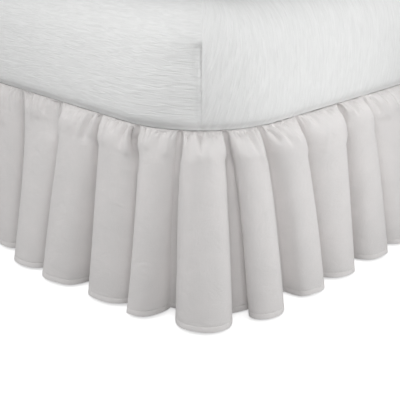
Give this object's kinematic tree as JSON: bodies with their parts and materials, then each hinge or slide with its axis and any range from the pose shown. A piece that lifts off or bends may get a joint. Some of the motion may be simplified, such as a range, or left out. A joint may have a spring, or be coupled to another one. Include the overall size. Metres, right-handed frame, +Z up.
{
  "type": "ruffled bed skirt on a bed",
  "caption": "Gathered cotton bed skirt that hangs round three sides of a plain bed, between its mattress and its box spring, down to the floor.",
  "frame": {"origin": "on the floor under the middle of the whole bed's bounding box", "axes": "+Z up, +Y towards the head of the bed, +X towards the right-hand side seen from the foot"},
  "size_m": [1.1254, 2.0068, 0.5753],
  "materials": {
    "skirt_cotton": "white plain-weave cotton, softly gathered",
    "deck_cotton": "plain white cotton sheeting",
    "mattress_ticking": "white ribbed ticking",
    "box_spring_cover": "plain off-white cover",
    "leg_wood": "stained wood"
  },
  "bodies": {
    "root": {"ruffle_panel_1": "skirt_cotton", "ruffle_panel_2": "skirt_cotton", "ruffle_panel_3": "skirt_cotton", "ruffle_panel_4": "skirt_cotton", "deck": "deck_cotton", "box_spring": "box_spring_cover", "mattress": "mattress_ticking", "leg_left_foot": "leg_wood", "leg_left_middle": "leg_wood", "leg_left_head": "leg_wood", "leg_right_foot": "leg_wood", "leg_right_middle": "leg_wood", "leg_right_head": "leg_wood"}
  },
  "joints": []
}
